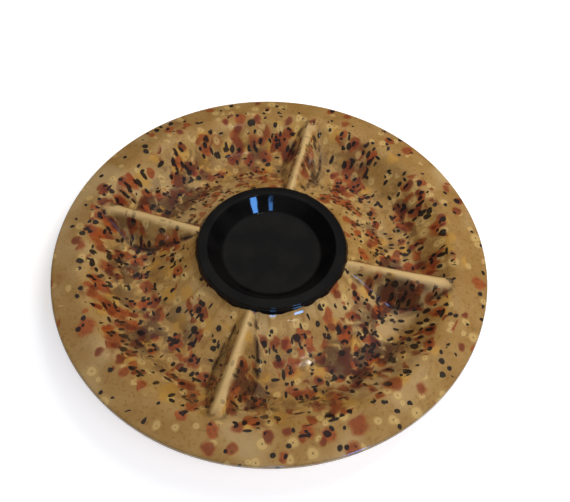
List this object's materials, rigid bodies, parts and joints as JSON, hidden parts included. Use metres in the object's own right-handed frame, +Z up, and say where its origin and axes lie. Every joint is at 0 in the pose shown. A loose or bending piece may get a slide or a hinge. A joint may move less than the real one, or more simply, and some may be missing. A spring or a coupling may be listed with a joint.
{
  "type": "chip and dip server",
  "caption": "Round speckled ceramic tray with a ring trough parted by ribs, and a black dip bowl that lifts out of its central cone.",
  "frame": {"origin": "centre of the foot ring, on the surface the tray stands on", "axes": "+Z up along the tray's axis; the four ribs lie along X and Y"},
  "size_m": [0.34, 0.34, 0.0387],
  "materials": {
    "speckled_glaze": "gloss",
    "black_glaze": "gloss"
  },
  "bodies": {
    "tray": {"tray": "speckled_glaze"},
    "bowl": {"dip_bowl": "black_glaze"}
  },
  "joints": [
    {"name": "bowl_lift", "type": "slide", "parent": "tray", "child": "bowl", "axis": [0, 0, 1], "range_m": [0, 0.05]}
  ]
}
